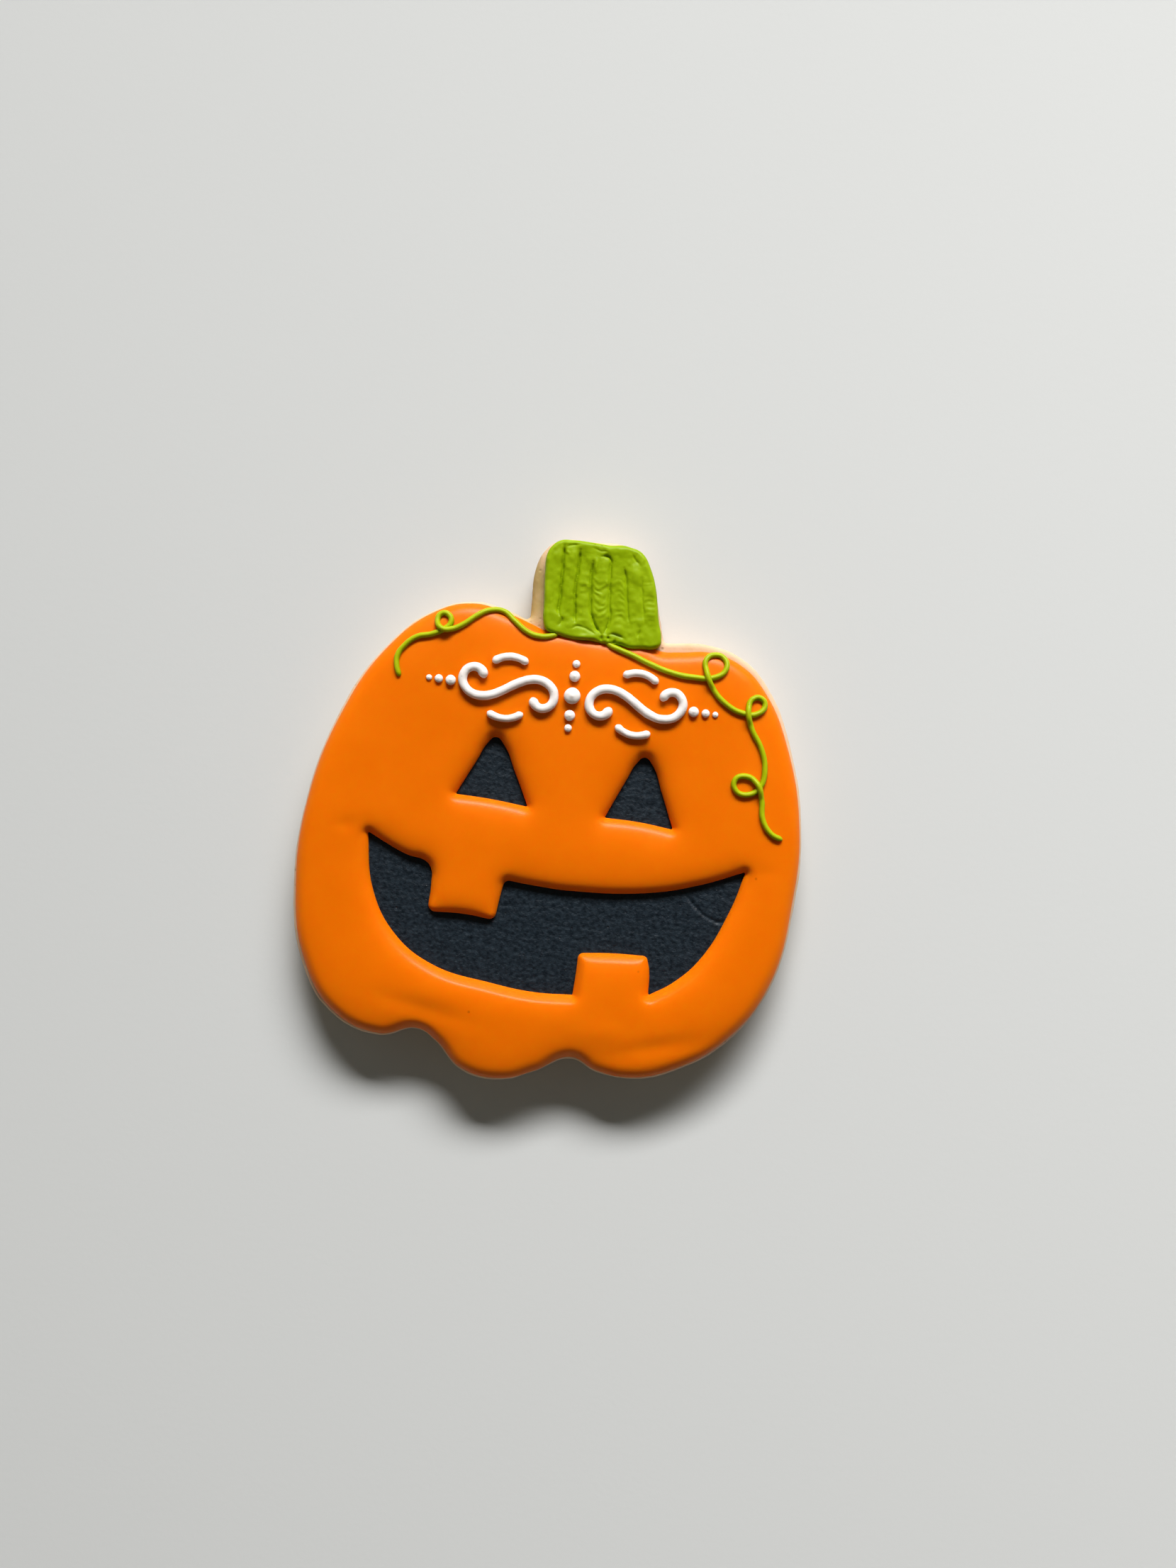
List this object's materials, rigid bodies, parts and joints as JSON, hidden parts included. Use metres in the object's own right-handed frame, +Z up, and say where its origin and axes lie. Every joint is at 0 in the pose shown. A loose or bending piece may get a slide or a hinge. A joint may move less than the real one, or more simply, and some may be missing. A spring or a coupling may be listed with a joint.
{
  "type": "iced sugar cookie",
  "caption": "Pumpkin-shaped sugar cookie lying flat: a thick biscuit under orange icing with a carved face, a green rope stem, curling tendrils and a white piped flourish.",
  "frame": {"origin": "on the resting surface, under the middle of the cookie's outline", "axes": "+X to the right of the face, +Y up towards the stem, +Z up out of the icing"},
  "size_m": [0.0937, 0.0996, 0.0129],
  "materials": {
    "biscuit": "pale baked sugar dough with a fine crumb and slightly browned underside",
    "orange_icing": "set royal icing, satin and smooth with a soft roll at its rims",
    "black_icing": "dry matte icing with a fine grain and faint brush streaks",
    "green_icing": "piped icing with a soft gloss on its ridges",
    "white_icing": "dry piped icing with a slightly rough sugary skin"
  },
  "bodies": {
    "root": {"biscuit": "biscuit", "orange_icing": "orange_icing", "mouth_icing": "black_icing", "eye_icing_left": "black_icing", "eye_icing_right": "black_icing", "stem_icing": "green_icing", "tendril_left": "green_icing", "tendril_right": "green_icing", "scroll_left": "white_icing", "scroll_right": "white_icing", "comma_upper_left": "white_icing", "comma_upper_right": "white_icing", "comma_lower_left": "white_icing", "comma_lower_right": "white_icing", "bead_middle_1": "white_icing", "bead_middle_2": "white_icing", "bead_middle_3": "white_icing", "bead_middle_4": "white_icing", "bead_middle_5": "white_icing", "bead_left_1": "white_icing", "bead_left_2": "white_icing", "bead_left_3": "white_icing", "bead_right_1": "white_icing", "bead_right_2": "white_icing", "bead_right_3": "white_icing"}
  },
  "joints": []
}
